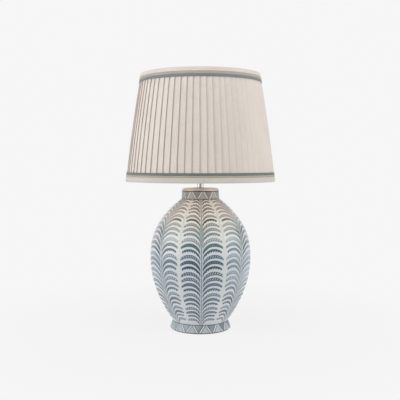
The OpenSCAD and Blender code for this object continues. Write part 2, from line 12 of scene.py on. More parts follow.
import bmesh
import bpy
import numpy as np
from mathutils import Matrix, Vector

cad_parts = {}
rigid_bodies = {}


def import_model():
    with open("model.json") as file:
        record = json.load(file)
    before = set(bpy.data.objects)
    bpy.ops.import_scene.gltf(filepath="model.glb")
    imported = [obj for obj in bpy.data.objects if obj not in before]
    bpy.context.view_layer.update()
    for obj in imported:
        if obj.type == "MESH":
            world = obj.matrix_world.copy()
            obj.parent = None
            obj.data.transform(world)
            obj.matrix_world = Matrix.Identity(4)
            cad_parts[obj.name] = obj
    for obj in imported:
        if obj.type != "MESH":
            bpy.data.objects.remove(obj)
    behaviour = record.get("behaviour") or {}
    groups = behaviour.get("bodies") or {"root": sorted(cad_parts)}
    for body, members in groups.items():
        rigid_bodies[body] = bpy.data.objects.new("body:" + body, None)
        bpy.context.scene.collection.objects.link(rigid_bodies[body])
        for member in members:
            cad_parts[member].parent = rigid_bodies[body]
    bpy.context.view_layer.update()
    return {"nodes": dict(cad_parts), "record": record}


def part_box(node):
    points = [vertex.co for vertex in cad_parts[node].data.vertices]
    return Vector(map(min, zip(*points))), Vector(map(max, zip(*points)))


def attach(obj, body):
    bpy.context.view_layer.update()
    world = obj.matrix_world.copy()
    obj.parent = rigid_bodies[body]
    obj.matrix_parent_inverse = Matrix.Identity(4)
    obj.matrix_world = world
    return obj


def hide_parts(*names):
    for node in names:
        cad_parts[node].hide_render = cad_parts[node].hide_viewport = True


for left_over in list(bpy.data.objects):
    bpy.data.objects.remove(left_over)

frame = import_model()
mm = 0.001

# %% [markdown]
# The camera comes first, because every later choice is judged through it.
# It stands 1.6 m in front of the lamp at the height of the lampholder and looks down by a few degrees,
# which is why the rims of the cap and the foot show as shallow ellipses that bend the same way.

# %% Camera
EYE, LOOK_DOWN, LENS_MM, SENSOR_MM = (-0.001, -1.6, 0.3984), 3.2436, 60.188, 36
camera = bpy.data.objects.new("camera", bpy.data.cameras.new("camera"))
bpy.context.scene.collection.objects.link(camera)
bpy.context.scene.camera = camera
camera.location = EYE
camera.rotation_euler = (math.radians(90 - LOOK_DOWN), 0, 0)
camera.data.sensor_width, camera.data.lens = SENSOR_MM, LENS_MM
bpy.context.scene.view_settings.view_transform = "Standard"
print("Camera", tuple(camera.location), "lens", camera.data.lens)

# %% [markdown]
# Colours in Blender's materials are linear light, but people read them as hex numbers.
# This helper turns the second into the first with the sRGB curve, so the recipes below stay readable.


# %% Colours written as hex numbers
def colour(hex_number):
    """Linear red, green, blue and 1. Each hex pair c, as a share from 0 to 1, becomes c / 12.92
    when it is dark, and otherwise ((c + 0.055) / 1.055) to the power 2.4."""
    pairs = np.array([int(hex_number[i : i + 2], 16) for i in (0, 2, 4)]) / 255
    linear = np.where(pairs > 0.04045, ((pairs + 0.055) / 1.055) ** 2.4, pairs / 12.92)
    return (*map(float, linear), 1.0)


PAPER = "f6f6f6"
print("Paper white is", [round(c, 3) for c in colour(PAPER)])

# %% [markdown]
# A material is a network of nodes. Drawing one by hand in code takes many lines, so helpers shorten it.
# Value is a number that differs from point to point: adding or multiplying Values adds Math nodes.


# %% Numbers in a material
class Value:
    """One output of a network, with sums written as in ordinary arithmetic."""

    def __init__(self, network, socket):
        self.network, self.socket = network, socket

    def math(self, operation, *others):
        made = self.network.node("Math", operation=operation)
        for socket, value in zip(made.inputs, (self, *others)):
            self.network.feed(socket, value)
        return Value(self.network, made.outputs[0])

    # Each of these names adds one Math node. below and above give 1 or 0, size drops the sign,
    # and flipped is one minus the value.
    __add__, __sub__ = partialmethod(math, "ADD"), partialmethod(math, "SUBTRACT")
    __mul__, __truediv__ = partialmethod(math, "MULTIPLY"), partialmethod(math, "DIVIDE")
    at_least, at_most = partialmethod(math, "MAXIMUM"), partialmethod(math, "MINIMUM")
    below, above = partialmethod(math, "LESS_THAN"), partialmethod(math, "GREATER_THAN")
    size, flipped = partialmethod(math, "ABSOLUTE"), partialmethod(math, "MULTIPLY_ADD", -1.0, 1.0)

    def rise(self, low, high):
        """0 below low, 1 above high, and a smooth slope between them."""
        ends = {"Value": self, "From Min": low, "From Max": high}
        return self.network.value("MapRange", "Result", ends, interpolation_type="SMOOTHSTEP")

    def fall(self, low, high):
        """1 below low, 0 above high, and a smooth slope between them."""
        return self.rise(low, high).flipped()

    def hump(self, low, full, still, gone):
        """A rise from low to full, times a fall from still to gone."""
        return self.rise(low, full) * self.fall(still, gone)


print("Value is ready")

# %% [markdown]
# Network holds the nodes of a material or of the world, and each of its methods adds one node.
# Finish is the network of one material, round its Principled shader.


# %% Materials
class Network:
    """The nodes and links of one material or world."""

    def __init__(self, tree):
        self.nodes, self.links = tree.nodes, tree.links

    def feed(self, socket, value):
        if isinstance(value, Value):
            value = value.socket
        if isinstance(value, bpy.types.NodeSocket):
            self.links.new(value, socket)
        else:
            socket.default_value = colour(value) if isinstance(value, str) else value

    def node(self, kind, inputs=None, **settings):
        made = self.nodes.new("ShaderNode" + kind)
        for name, value in settings.items():
            setattr(made, name, value)
        for name, value in (inputs or {}).items():
            self.feed(made.inputs[name], value)
        return made

    def value(self, kind, output, inputs=None, **settings):
        """A node's output as a Value."""
        return Value(self, self.node(kind, inputs, **settings).outputs[output])


class Finish(Network):
    """One material round a Principled shader."""

    def __init__(self, name, sockets):
        self.material = bpy.data.materials.new(name)
        self.material.use_nodes = True
        super().__init__(self.material.node_tree)
        self.shader = self.nodes["Principled BSDF"]
        self.set(sockets)

    def set(self, sockets):
        for name, value in sockets.items():
            self.feed(self.shader.inputs[name], value)

    def place(self):
        """Where a point lies on its piece, in metres."""
        return self.node("TexCoord").outputs["Object"]

    def own_map(self, name):
        """The two numbers of the piece's own map, such as how far round and how far up a point is."""
        split = self.node("SeparateXYZ", {"Vector": self.node("UVMap", uv_map=name).outputs["UV"]})
        return Value(self, split.outputs["X"]), Value(self, split.outputs["Y"])

    def stretched(self, vector, scale):
        """A Mapping node that squeezes a pattern differently along each axis."""
        return self.node("Mapping", {"Vector": vector, "Scale": scale}).outputs["Vector"]

    def length(self, vector):
        """Square root of the sum of the squares of a vector's three numbers."""
        return self.value("VectorMath", "Value", {0: vector}, operation="LENGTH")

    def noise(self, scale, detail=2.0, at=None):
        """Cloudy noise from 0 to 1; scale counts the clouds in a metre."""
        return self.value("TexNoise", 0, {"Vector": at or self.place(), "Scale": scale, "Detail": detail})

    def mix(self, share, first, second, blend="MIX"):
        """Colour mix: first where share is 0 and second where it is 1."""
        made = self.node("Mix", data_type="RGBA", blend_type=blend)
        for index, value in ((0, share), (6, first), (7, second)):
            self.feed(made.inputs[index], value)
        return made.outputs[2]

    def palette(self, share, stops):
        """Colours blended along a number; stops is a list of (position, hex colour)."""
        made = self.node("ValToRGB", {"Fac": share})
        ramp = made.color_ramp
        while len(ramp.elements) < len(stops):
            ramp.elements.new(1.0)
        for element, (position, tone) in zip(ramp.elements, stops):
            element.position, element.color = position, colour(tone)
        return made.outputs["Color"]

    def bump(self, height, depth):
        """Tilts the surface's normal as if height, from 0 to 1, stood out by depth metres."""
        made = self.node("Bump", {"Height": height, "Distance": depth, "Strength": 1.0})
        self.set({"Normal": made.outputs["Normal"]})


print("Network and Finish are ready")

# %% [markdown]
# Every new piece is a grid of points: one direction runs round the lamp, the other along a section.
# A turned piece is a profile of radius and height carried round the axis, as on a potter's wheel.
# A closed profile gives a closed solid, and points that meet on the axis are merged, so that no seam or
# pole is open.


# %% Grids of points
def surface(name, points, map_name="own_map", own_map=None, joined=True, ring=False):
    """A mesh over points[i, j]. Each face joins (i, j), (i, j+1), (i+1, j+1) and (i+1, j).
    joined links the last column to the first, and ring links the last row to the first.
    own_map[i, j] has one more column when joined, and one more row when ring, so that a seam
    keeps its numbers."""
    rows, columns = points.shape[:2]
    i, j = np.indices((rows - (not ring), columns - (not joined)))
    i2, j2 = (i + 1) % rows, (j + 1) % columns
    faces = [i * columns + j, i * columns + j2, i2 * columns + j2, i2 * columns + j]
    faces = np.stack(faces, -1).reshape(-1, 4)
    mesh = bpy.data.meshes.new(name)
    mesh.from_pydata(points.reshape(-1, 3).tolist(), [], faces.tolist())
    if own_map is not None:
        corners = [own_map[i, j], own_map[i, j + 1], own_map[i + 1, j + 1], own_map[i + 1, j]]
        layer = mesh.uv_layers.new(name=map_name)
        layer.uv.foreach_set("vector", np.stack(corners, 2).reshape(-1).astype(np.float32))
    mesh.polygons.foreach_set("use_smooth", np.ones(len(faces), bool))
    piece = bpy.data.objects.new(name, mesh)
    bpy.context.scene.collection.objects.link(piece)
    return piece


def full_turn(columns):
    """The columns' angles in radians: a whole turn, anticlockwise from the back, which is +Y."""
    return 2 * np.pi * (0.25 + np.arange(columns) / columns)


def wrapped(radius, angle, height):
    """Points round the axis: radius times the cosine and the sine of the angle, and the height."""
    return np.stack([radius * np.cos(angle), radius * np.sin(angle), height + 0 * angle], -1)


def turned(profile, columns):
    """Points of a profile of (radius, height) carried round the axis."""
    return wrapped(profile[:, :1], full_turn(columns), profile[:, 1:])


def arc(centre, across, up, start, end, steps):
    """Points of an ellipse from start to end, in degrees: the centre plus across times the cosine
    and up times the sine."""
    angle = np.radians(np.linspace(start, end, steps))
    return np.stack([centre[0] + across * np.cos(angle), centre[1] + up * np.sin(angle)], -1)


print("Grids of points are ready")

# %% [markdown]
# A few small helpers finish each piece. A grid that ends on the axis repeats one point there, and merging
# closes it. Smooth shading hides the grid's facets, but a real edge has to stay sharp. Cloth could be drawn
# with an inner and an outer face, but a live Solidify modifier gives the same thickness from a simpler grid.
# Last, each piece is told which body it moves with and which CAD node it stands for.


# %% Helpers for finished pieces
def merge_poles(piece):
    """Merges the points that a profile on the axis repeats."""
    shape = bmesh.new()
    shape.from_mesh(piece.data)
    bmesh.ops.remove_doubles(shape, verts=shape.verts, dist=1e-7)
    shape.to_mesh(piece.data)
    shape.free()


def keep_edges(piece, degrees):
    """Smooth shading everywhere but across edges sharper than this."""
    piece.data.set_sharp_from_angle(angle=math.radians(degrees))


def thicken(piece, thickness):
    """A live modifier that lays the thickness half on each side of the surface."""
    step = piece.modifiers.new("thickness", "SOLIDIFY")
    step.thickness, step.offset = thickness, 0.0


def settle(piece, body, slot, node, *coats):
    """Gives a new piece its finishes, its body and the CAD node that it stands for, and says how it fits."""
    for coat in coats:
        piece.data.materials.append(coat.material)
    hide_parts(node)
    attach(piece, body)
    corners = np.array(piece.bound_box)
    off = abs(np.array([corners.min(0), corners.max(0)]) - [list(c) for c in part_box(node)]).max()
    print(f"{piece.name}: {len(piece.data.vertices)} points, box within {off / mm:.2f} mm of {node}")


print("Helpers for pieces are ready")

# %% [markdown]
# The stage is a plain pale floor under a pale sky. The camera and glass see both as paper white, while
# the rays that light the lamp see a dimmer world, so that its light stays soft and nothing clips.
# Near the lamp a tenth of the floor is real plaster, and that part carries the soft shadow.

# %% Floor
REACH = 15.0
floor_corners = [[[-REACH, -REACH, 0], [REACH, -REACH, 0]], [[-REACH, REACH, 0], [REACH, REACH, 0]]]
floor = surface("floor", np.array(floor_corners), joined=False)
paper = Finish("paper_floor", {"Base Color": "f4f4f4", "Roughness": 1.0, "Specular IOR Level": 0.0})
floor_rays = paper.node("LightPath").outputs
camera_or_mirror = Value(paper, floor_rays["Is Camera Ray"]).at_least(floor_rays["Is Glossy Ray"])
floor_seen = camera_or_mirror.at_least(floor_rays["Is Transmission Ray"])
paper_share = floor_seen * (paper.length(paper.place()).rise(0.1, 0.75) * 0.1 + 0.9)
glow = paper.node("Emission", {"Color": PAPER, "Strength": 1.0})
blend = paper.node("MixShader", {0: paper_share, 1: paper.shader.outputs[0], 2: glow.outputs[0]})
paper.feed(paper.nodes["Material Output"].inputs["Surface"], blend.outputs[0])
floor.data.materials.append(paper.material)
print("Floor:", len(paper.nodes), "nodes")

# %% [markdown]
# Shiny pieces mirror the room, and the room is bright at the sides and behind but dim towards the
# photographer. That dim strip draws the dark line down the middle of the nickel stem and deepens the
# front of the glaze. It belongs to the world: it depends only on the direction in the room, never on where
# the camera stands.

# %% Sky and the room that glossy pieces mirror
world = bpy.data.worlds.new("studio")
bpy.context.scene.world = world
world.use_nodes = True
sky = Network(world.node_tree)
sky.nodes.clear()
sky_rays = sky.node("LightPath").outputs
sky_seen = Value(sky, sky_rays["Is Camera Ray"]).at_least(sky_rays["Is Transmission Ray"])
towards_back = sky.value("SeparateXYZ", "Y", {"Vector": sky.node("TexCoord").outputs["Generated"]})
dim_front = {"Value": towards_back, "From Min": -0.8, "From Max": -0.45, "To Min": 0.3, "To Max": 1.0}
brightness = sky.node("MapRange", dim_front, interpolation_type="SMOOTHSTEP").outputs["Result"]
lighting, backdrop, room = (
    sky.node("Background", {"Color": tone, "Strength": strength}).outputs[0]
    for tone, strength in (("f6f5f3", 0.52), (PAPER, 1.0), (PAPER, brightness))
)
lit = sky.node("MixShader", {0: sky_rays["Is Glossy Ray"], 1: lighting, 2: room}).outputs[0]
whole = sky.node("MixShader", {0: sky_seen, 1: lit, 2: backdrop}).outputs[0]
sky.node("OutputWorld", {"Surface": whole})
print("World:", len(sky.nodes), "nodes")

# %% [markdown]
# Two large softboxes stand left and right of the lamp, the left one a little stronger. Their light wraps
# round the shade and the vase, and leaves the front a shade darker, as in a catalogue photograph.
# A small one, above and in front, lifts the top of the shade. A faint one inside the shade's lower edge
# stands for the light that comes through the cloth.


# %% Softboxes
def softbox(name, place, aim, size, power):
    """An area light at place that faces aim: its own -Z axis is turned along the line between them."""
    light = bpy.data.lights.new(name, "AREA")
    light.shape, light.size, light.size_y, light.energy = "RECTANGLE", *size, power
    stand = bpy.data.objects.new(name, light)
    bpy.context.scene.collection.objects.link(stand)
    stand.visible_camera = False
    stand.location = place
    x, y, z = np.array(aim, float) - place
    stand.rotation_euler = (math.atan2(math.hypot(x, y), -z), 0, math.atan2(y, x) - math.pi / 2)
    print(name, power, "W")


softbox("left_softbox", (-1.9, -0.75, 0.7), (0, 0, 0.33), (1.0, 1.3), 17)
softbox("right_softbox", (1.9, -0.75, 0.7), (0, 0, 0.33), (1.0, 1.3), 14.6)
softbox("top_softbox", (0, -0.42, 0.9), (0, -0.12, 0.5), (0.6, 0.2), 0.5)
softbox("shade_glow", (0, 0, 0.358), (0, 0, 0.2), (0.26, 0.26), 0.028)

# %% [markdown]
# The vase is thrown in one piece: a foot ring, a full belly, a sloping shoulder and a short upright neck.
# Its profile is two power curves that meet at the widest point, the same as in the CAD source.
# Working it out again with more points keeps the silhouette smooth and gives the paint its own map.

# %% Outline of the vase
FOOT_H, BELLY_Z, NECK_Z, LIP_Z = 20.6 * mm, 171 * mm, 311.3 * mm, 330.5 * mm
WAIST_R, BELLY_R, NECK_R, LIP_R, LIP_ROUND = 66.4 * mm, 120 * mm, 45 * mm, 44.2 * mm, 1 * mm
WALL, FLOOR_T, FELT_T, FOOT_R, FOOT_ROUND = 6 * mm, 7 * mm, 1.2 * mm, 72.8 * mm, 2 * mm
SHOULDER_POWER = 2.44


def body_radius(z):
    """Below the belly the radius falls with the square of the distance, above it with the power 2.44."""
    down, up = np.maximum(BELLY_Z - z, 0), np.maximum(z - BELLY_Z, 0)
    below = BELLY_R - (BELLY_R - WAIST_R) * (down / (BELLY_Z - FOOT_H)) ** 2
    return below - (BELLY_R - NECK_R) * (up / (NECK_Z - BELLY_Z)) ** SHOULDER_POWER


def slant_share(profile):
    """How far along the profile each point lies, from 0 to 1, measured on the surface."""
    steps = np.hypot(*np.diff(profile, axis=0).T)
    return np.concatenate([[0], np.cumsum(steps)]) / steps.sum()


body_z = np.linspace(FOOT_H, NECK_Z, 130)
body = np.stack([body_radius(body_z), body_z], -1)
slope = np.gradient(body, axis=0)
slope /= np.hypot(*slope.T)[:, None]
inside = (body + WALL * np.stack([-slope[:, 1], slope[:, 0]], -1))[::-4]
inside = inside[inside[:, 1] > FOOT_H + FLOOR_T + 2 * mm]
foot_edge = arc((FOOT_R - FOOT_ROUND, FELT_T + FOOT_ROUND), FOOT_ROUND, FOOT_ROUND, -90, 0, 7)
foot_side = np.linspace(foot_edge[-1], (WAIST_R + 0.2 * mm, FOOT_H - 0.8 * mm), 9)[1:]
foot = np.concatenate([foot_edge, foot_side])
neck_side = np.linspace((NECK_R, NECK_Z), (LIP_R, LIP_Z - LIP_ROUND), 8)[1:]
lip = arc((LIP_R - LIP_ROUND, LIP_Z - LIP_ROUND), LIP_ROUND, LIP_ROUND, 0, 90, 5)[1:]
neck = np.concatenate([neck_side, lip])
print("Body outline:", len(body), "points, widest", round(body[:, 0].max() / mm, 1), "mm")

# %% [markdown]
# The painter set out six stems round the vase and hung leaves on both sides of each, in rows.
# The map of the surface holds that layout: across, the share of a turn from the front, and up, the number
# of the leaf row, counted on the clay. Rows crowd a little towards the foot and the neck. Below 0 the
# second number runs up the foot band, and above the last row up the neck band.

# %% Build the vase and its map
BODY_ROWS, AROUND = 27.52, 288
HOLE_R, FLOOR_TOP = 6.5 * mm, FOOT_H + FLOOR_T
along_body = slant_share(body)
body_rows = 30.57 * along_body - 11.19 * along_body**2 + 8.14 * along_body**3
foot_rows = (foot[:, 1] - FOOT_H) / (FOOT_H - FELT_T)
neck_rows = BODY_ROWS + (neck[:, 1] - NECK_Z) / (LIP_Z - NECK_Z)
outside = np.concatenate([foot, body, neck])
under = np.array([[HOLE_R, FOOT_H], [WAIST_R - WALL, FOOT_H], [WAIST_R - WALL, FELT_T]])
mouth = [(LIP_R - WALL + LIP_ROUND, LIP_Z), (LIP_R - WALL, LIP_Z - LIP_ROUND)]
mouth += [(NECK_R - WALL, NECK_Z - WALL / 2)]
bottom = [(body_radius(FLOOR_TOP) - 1.15 * WALL, FLOOR_TOP), (HOLE_R, FLOOR_TOP)]
inner = np.concatenate([mouth, inside, bottom])
profile = np.concatenate([under, outside, inner])
rows_up = np.concatenate(
    [np.full(3, -2.0), foot_rows, body_rows, neck_rows, np.full(len(inner) + 1, BODY_ROWS + 2)]
)
around = np.arange(AROUND + 1) / AROUND - 0.5
layout = np.stack(np.broadcast_arrays(around[None, :], rows_up[:, None]), -1)
vase = surface("glazed_vase", turned(profile, AROUND), "leaf_map", layout, ring=True)
coat_number = np.zeros(len(profile), int)
coat_number[: len(under)] = 1
coat_number[len(under) + len(outside) - 1 :] = 2
vase.data.polygons.foreach_set("material_index", np.repeat(coat_number, AROUND))
print("Vase:", len(profile), "x", AROUND, "grid")

# %% [markdown]
# The flex leaves through a hole in the back of the foot ring, where the rubber grommet sits.
# A Boolean cuts it with a short cylinder, and the result replaces the mesh, so no live modifier is left.

# %% Cut the hole for the flex
BORE_R, BORE_Z, BORE_FROM, BORE_TO = 5.05 * mm, 10.4 * mm, 58 * mm, 80 * mm
bore_turn = 2 * np.pi * np.arange(48) / 48
tube = np.array([[0, BORE_FROM], [BORE_R, BORE_FROM], [BORE_R, BORE_TO], [0, BORE_TO]])
tube_r, tube_y = tube[:, :1], tube[:, 1:]
tube_points = [tube_r * np.cos(bore_turn), tube_y + 0 * bore_turn, BORE_Z - tube_r * np.sin(bore_turn)]
cutter = surface("cutter", np.stack(tube_points, -1))
merge_poles(cutter)
cut = vase.modifiers.new("cut", "BOOLEAN")
cut.operation, cut.object, cut.solver = "DIFFERENCE", cutter, "EXACT"
cut_vase = bpy.data.meshes.new_from_object(vase.evaluated_get(bpy.context.evaluated_depsgraph_get()))
vase.modifiers.clear()
vase.data = cut_vase
bpy.data.objects.remove(cutter)
keep_edges(vase, 40)
print("Vase after the cut:", len(vase.data.polygons), "faces")

# %% [markdown]
# A formula draws the pattern. The turn is split into six columns, a little narrower at the front than at
# the sides and the back: from 0.13 of a turn on, the count of columns grows more slowly.
# No stem stands quite in the middle of its column: a sine wave of the column's number moves it, and above
# the belly the stems at the sides lean away from the front.
# Inside a column, a is how far a point is from the stem: 0 at the stem and 1 in the gap between columns.
# Columns are narrow at the neck, but a brush stroke isn't, so stem and flecks use across, the distance on
# the clay, where 1 is half a column at the belly.

# %% Columns of the fronds
COLUMNS, FRONT_COLUMNS, FRONT_END, GAP_SHIFT, PAINT_R = 6, 7, 0.13, 0.036, 0.121
glaze = Finish("painted_glaze", {"Roughness": 0.45, "Specular IOR Level": 0.35})
glaze.set({"Coat Weight": 0.08, "Coat Roughness": 0.25})
turn_share, height = glaze.own_map("leaf_map")
off_front = turn_share.size()
place = glaze.place()
wobble = glaze.noise(38, 1.0, place) - 0.5
past_front = (off_front - FRONT_END).at_least(0.0) * turn_share.math("SIGN")
slower = (FRONT_COLUMNS - COLUMNS) * 0.5 / (0.5 - FRONT_END)
column_share = turn_share * FRONT_COLUMNS - past_front * slower - GAP_SHIFT
within = (column_share + 0.5).math("FRACT") - 0.5
column = (column_share - within).math("WRAP", 3.5, -2.5)
column_turn = column * (2 * math.pi / FRONT_COLUMNS)
sideward, facing = column_turn.math("SINE"), column_turn.math("COSINE")
front = facing * facing
lean = height.rise(12.0, 24.0)
stem_at = sideward * (lean * 0.19 - 0.066) + front.flipped() * lean * 0.06 - 0.013
beside = within - stem_at
right = beside.above(0.0)
half_width = (right * -2.0 + 1.0) * stem_at + 0.5
a = beside.size() / half_width + wobble * 0.03
across = a * glaze.length(glaze.stretched(place, (1, 1, 0))) / PAINT_R
print("Frond layout:", COLUMNS, "columns")

# %% [markdown]
# A leaf's edge rises steeply from the stem, levels out past the middle and droops at its tip. The drop at
# distance a is added to the height, which bends straight rows into leaves. What is left after taking whole
# rows away says where in its row the point lies: the dark band of the leaf, or the pale line above the next.

# %% Rows of the fronds
CREST, RISE, TOP_ROW = 0.55, 1.55, 27.0
near = ((a * -1.0 + CREST) / CREST).at_least(0.0)
hook = ((a * -1.0 + 0.1) / 0.1).at_least(0.0)
far = ((a - CREST) / (1 - CREST)).at_least(0.0)
steeper = (height * -1.0 + 9.0).at_least(0.0) * 0.06 + RISE
droop = far * far * (height.rise(0.0, 7.0) * 0.65 + 0.3)
drop = near.math("POWER", 2.5) * steeper + hook * hook * 0.5 + droop
level = height * -1.0 + TOP_ROW - drop + wobble * 0.1
row = level.math("FLOOR")
down = level - row
share_down = level / TOP_ROW
print("Rows hang from row", TOP_ROW, "and crest at", CREST, "of a half column")

# %% [markdown]
# The rows come in threes. The first has short, thin leaves, cut along their lower edge by strokes of the
# brush and ended by a dark dot. The next has full leaves: a dark outline round a core that the brush has
# flecked with the ground colour. The third is full and nearly plain. The painter lost count twice, after
# rows 3 and 15. Tone and flecks change from leaf to leaf, so two random numbers are drawn for each row,
# column and side.

# %% Leaves
miscounted = row.below(3.5) + row.above(15.5)
phase = ((row - miscounted + 1.0) / 3.0 + 0.01).math("FRACT")
short = phase.below(0.2)
full_flecked = (phase - 0.34).size().below(0.17)
numbered = column.math("WRAP", 7.0, 0.0)
dice = glaze.node("CombineXYZ", {"X": row, "Y": numbered * 2.0 + right}).outputs[0]
thrown = glaze.node("TexWhiteNoise", {"Vector": dice}, noise_dimensions="3D").outputs
tone_chance = Value(glaze, thrown["Value"])
fleck_chance = glaze.value("SeparateXYZ", "Y", {"Vector": thrown["Color"]})
strokes = ((across * 10.0 + down * 1.2).math("FRACT") - 0.5).size() * 2.0
taper = far * far * -0.4 + 1.0
leaf_width = (short * (strokes * -0.26 - 0.02) + 0.64 + near * near * 0.14) * taper
brushed = down.rise(0.0, 0.08) * (down - leaf_width).fall(-0.04, 0.04)
tip = short * -0.07 + 0.925
leaf = brushed * (a - tip).fall(-0.012, 0.012) * across.rise(0.035, 0.06) * row.below(25.5)
middle = ((down / leaf_width - 0.5).size() * 2.0).flipped()
flecked = full_flecked * 0.48 + fleck_chance * 0.3 + 0.06
flecks = strokes.rise(0.4, 0.7) * middle.rise(0.2, 0.55) * flecked
outline = middle.fall(0.1, 0.5)
dot = short * (a - tip).rise(-0.09, -0.05)
print("Leaves: short and serrated, full and flecked, full and plain")

# %% [markdown]
# The glaze colours run from taupe under the neck through one olive row, pale grey, teal and deep slate
# to a soft grey-blue at the foot. The ground runs from warm cream to a bluish white, and the stems keep to
# softer tones. Leaves and ground are read from the neck down, stems from the foot up.

# %% Palettes of the fronds
TAUPES = [(0.0, "a99a8e"), (0.15, "c6b6a9"), (0.17, "c3b6ab"), (0.204, "403f35")]
PALE_GREYS = [(0.24, "9a9b9c"), (0.278, "b6b8bb"), (0.315, "a6a9ab"), (0.352, "b3b7ba")]
TEALS = [(0.389, "5c7c80"), (0.426, "2f4b59"), (0.463, "4a667b"), (0.5, "335360")]
SLATES = [(0.537, "263c45"), (0.574, "3c4c58"), (0.611, "465566"), (0.648, "6a7184")]
BLUE_GREYS = [(0.685, "556670"), (0.722, "65787e"), (0.76, "607480"), (0.88, "6c7887"), (1.0, "747f8f")]
GROUNDS = [(0.0, "fff7f1"), (0.15, "fdf6ee"), (0.24, "f4f5ef"), (0.33, "e8eded")]
GROUNDS += [(0.5, "ccd7e0"), (0.75, "dae2ea"), (1.0, "e3e7ec")]
STEMS = [(0.0, "929ca7"), (0.35, "868f9a"), (0.5, "848e96"), (0.6, "8b9a9c")]
STEMS += [(0.7, "94a5a3"), (0.8, "9a9c95"), (0.9, "948b82"), (1.0, "8a8078")]
leaf_tones = TAUPES + PALE_GREYS + TEALS + SLATES + BLUE_GREYS
leaf_tone = glaze.palette((row + 0.5) / TOP_ROW, leaf_tones)
stem_tone = glaze.palette(height / TOP_ROW, STEMS)
ground_tone = glaze.palette(share_down, GROUNDS)
aside = off_front.hump(0.1, 0.18, 0.32, 0.4)
# Painted reflection: towards the sides the upper ground is painted a lavender grey, for the bright room that
# the glaze mirrors there.
ground = glaze.mix(aside * share_down.fall(0.3, 0.5) * 0.8, ground_tone, "d9dae2")
print("Palettes:", len(leaf_tones), "leaf tones,", len(GROUNDS), "grounds,", len(STEMS), "stem tones")

# %% [markdown]
# The paint is deep at the stem and at a leaf's outline. Columns that face the front or the back are painted
# deeper too, and the sides and the right paler and greyer: painted reflection, for the glaze mirroring the
# dim front and the bright sides of the room. The sums add up how deep and how pale each point is: depth mixes
# the leaf's tone towards a dark one, and paleness mixes it towards the ground.

# %% Depth of the paint and painted reflection
# Terms with front or aside are painted shade and painted reflection: they set, row by row, how much deeper
# the front and back columns are painted than the sides.
depth_and_shade = outline * 0.25 + near * 0.3 + short * 0.1 + dot * 0.55 + tone_chance * 0.2 + front * 0.3 - 0.1
depth_and_shade = depth_and_shade + share_down.fall(0.02, 0.14) * front * 0.35
depth_and_shade = depth_and_shade - share_down.rise(0.52, 0.64) * (right * 0.16 + 0.16) * front
depth_and_shade = depth_and_shade * (aside * share_down.fall(0.36, 0.42) * -0.2 + 1.0)
outermost = off_front.hump(0.138, 0.15, 0.25, 0.3) * near
depth_and_shade = depth_and_shade + outermost * share_down.hump(0.16, 0.24, 0.42, 0.5) * 0.7
depth_and_shade = depth_and_shade.at_most(0.9).at_least(0.0)
low_down = share_down.rise(0.58, 0.76)
# Painted reflection: the sides, the right and the olive row at the sides are painted paler and greyer,
# towards the ground, for the bright room that the glaze mirrors there.
sheen_at_sides = share_down.rise(0.2, 0.6) * front.flipped() * (low_down * -0.25 + 0.35)
sheen_at_right = turn_share.rise(0.06, 0.12) * share_down.rise(0.35, 0.45) * 0.25
painted_sheen = sheen_at_sides + (sheen_at_right + aside * 0.2) * low_down.flipped()
painted_sheen = painted_sheen + aside * (row - 5.0).size().below(0.5) * 0.45
grey_foot = glaze.mix(front.flipped() * low_down * 0.5, leaf_tone, "6f6e68")
grey_share = aside * share_down.hump(0.22, 0.26, 0.36, 0.4) * 0.6
sheen_veiled_leaf = glaze.mix(painted_sheen, glaze.mix(grey_share, grey_foot, "7e8087"), ground)
darkest = glaze.mix(share_down.rise(0.08, 0.3), "45372c", "27323a")
flecked_leaf = glaze.mix(flecks, glaze.mix(depth_and_shade, sheen_veiled_leaf, darkest), ground)
print("Depth of the paint is set by", len(glaze.nodes), "nodes so far")

# %% [markdown]
# A cream line is left in each gap between two columns, and the stem is drawn last, over the leaves.
# It swells for a few rows above the belly.

# %% Gaps and stems
gap = (a - 0.935).rise(-0.04, 0.04)
creamy = glaze.mix(gap * (height.rise(1.0, 10.0) * 0.3 + 0.27), ground, "dfddd3")
swollen = height.hump(15.8, 17.4, 19.3, 21.0) * (front * 0.025 + 0.025)
stem = (across - swollen).fall(0.018, 0.036) * height.rise(0.0, 0.3)
fronds = glaze.mix(stem * 0.9, glaze.mix(leaf, creamy, flecked_leaf), stem_tone)
print("Fronds are painted")

# %% [markdown]
# Foot and neck carry the same ornament: a zigzag line between two dark borders.
# A saw wave climbs and falls a whole number of times round the ring, reaching a little past the borders,
# so that each peak is cut flat. The line is pale, with a thin dark shadow round it, as in a raised slip line.


# %% Zigzag bands
def zigzag(up, waves, peak, line, fills, edge, depth, half):
    """up runs from 0 to 1 across the band. The line's height at share s of a wave is
    -0.1 + 1.2 times |2s - 1|, and half is half the line's width."""
    wave = (((turn_share - peak) * waves).math("FRACT") - 0.5).size() * 2.4 - 0.1
    offset = up - wave + wobble * 0.05
    drawn = (offset.size() - half).fall(-0.03, 0.03)
    shadow = (offset.size() - half * 2.7).fall(-0.05, 0.05)
    border = ((up - 0.5).size() - 0.43).rise(-0.03, 0.01) * 0.85
    filled = glaze.mix(offset.rise(-0.02, 0.02), *fills)
    lined = glaze.mix(drawn, glaze.mix(shadow * depth, filled, edge), line)
    return glaze.mix(border, lined, edge)


patch = glaze.noise(22, 1.0, place).rise(0.35, 0.65)
foot_fills = ("b3bdc5", glaze.mix(patch, "a0afae", "80888f"))
neck_fills = ("b3ada8", glaze.mix(patch, "a6a39f", "938a88"))
foot_band = zigzag(height + 1.0, 14, 9.4 / 360, "e6ecee", foot_fills, "3e4851", 0.7, 0.1)
neck_band = zigzag(height - BODY_ROWS, 10, 7.7 / 360, "f8f2ea", neck_fills, "3b3531", 0.42, 0.092)
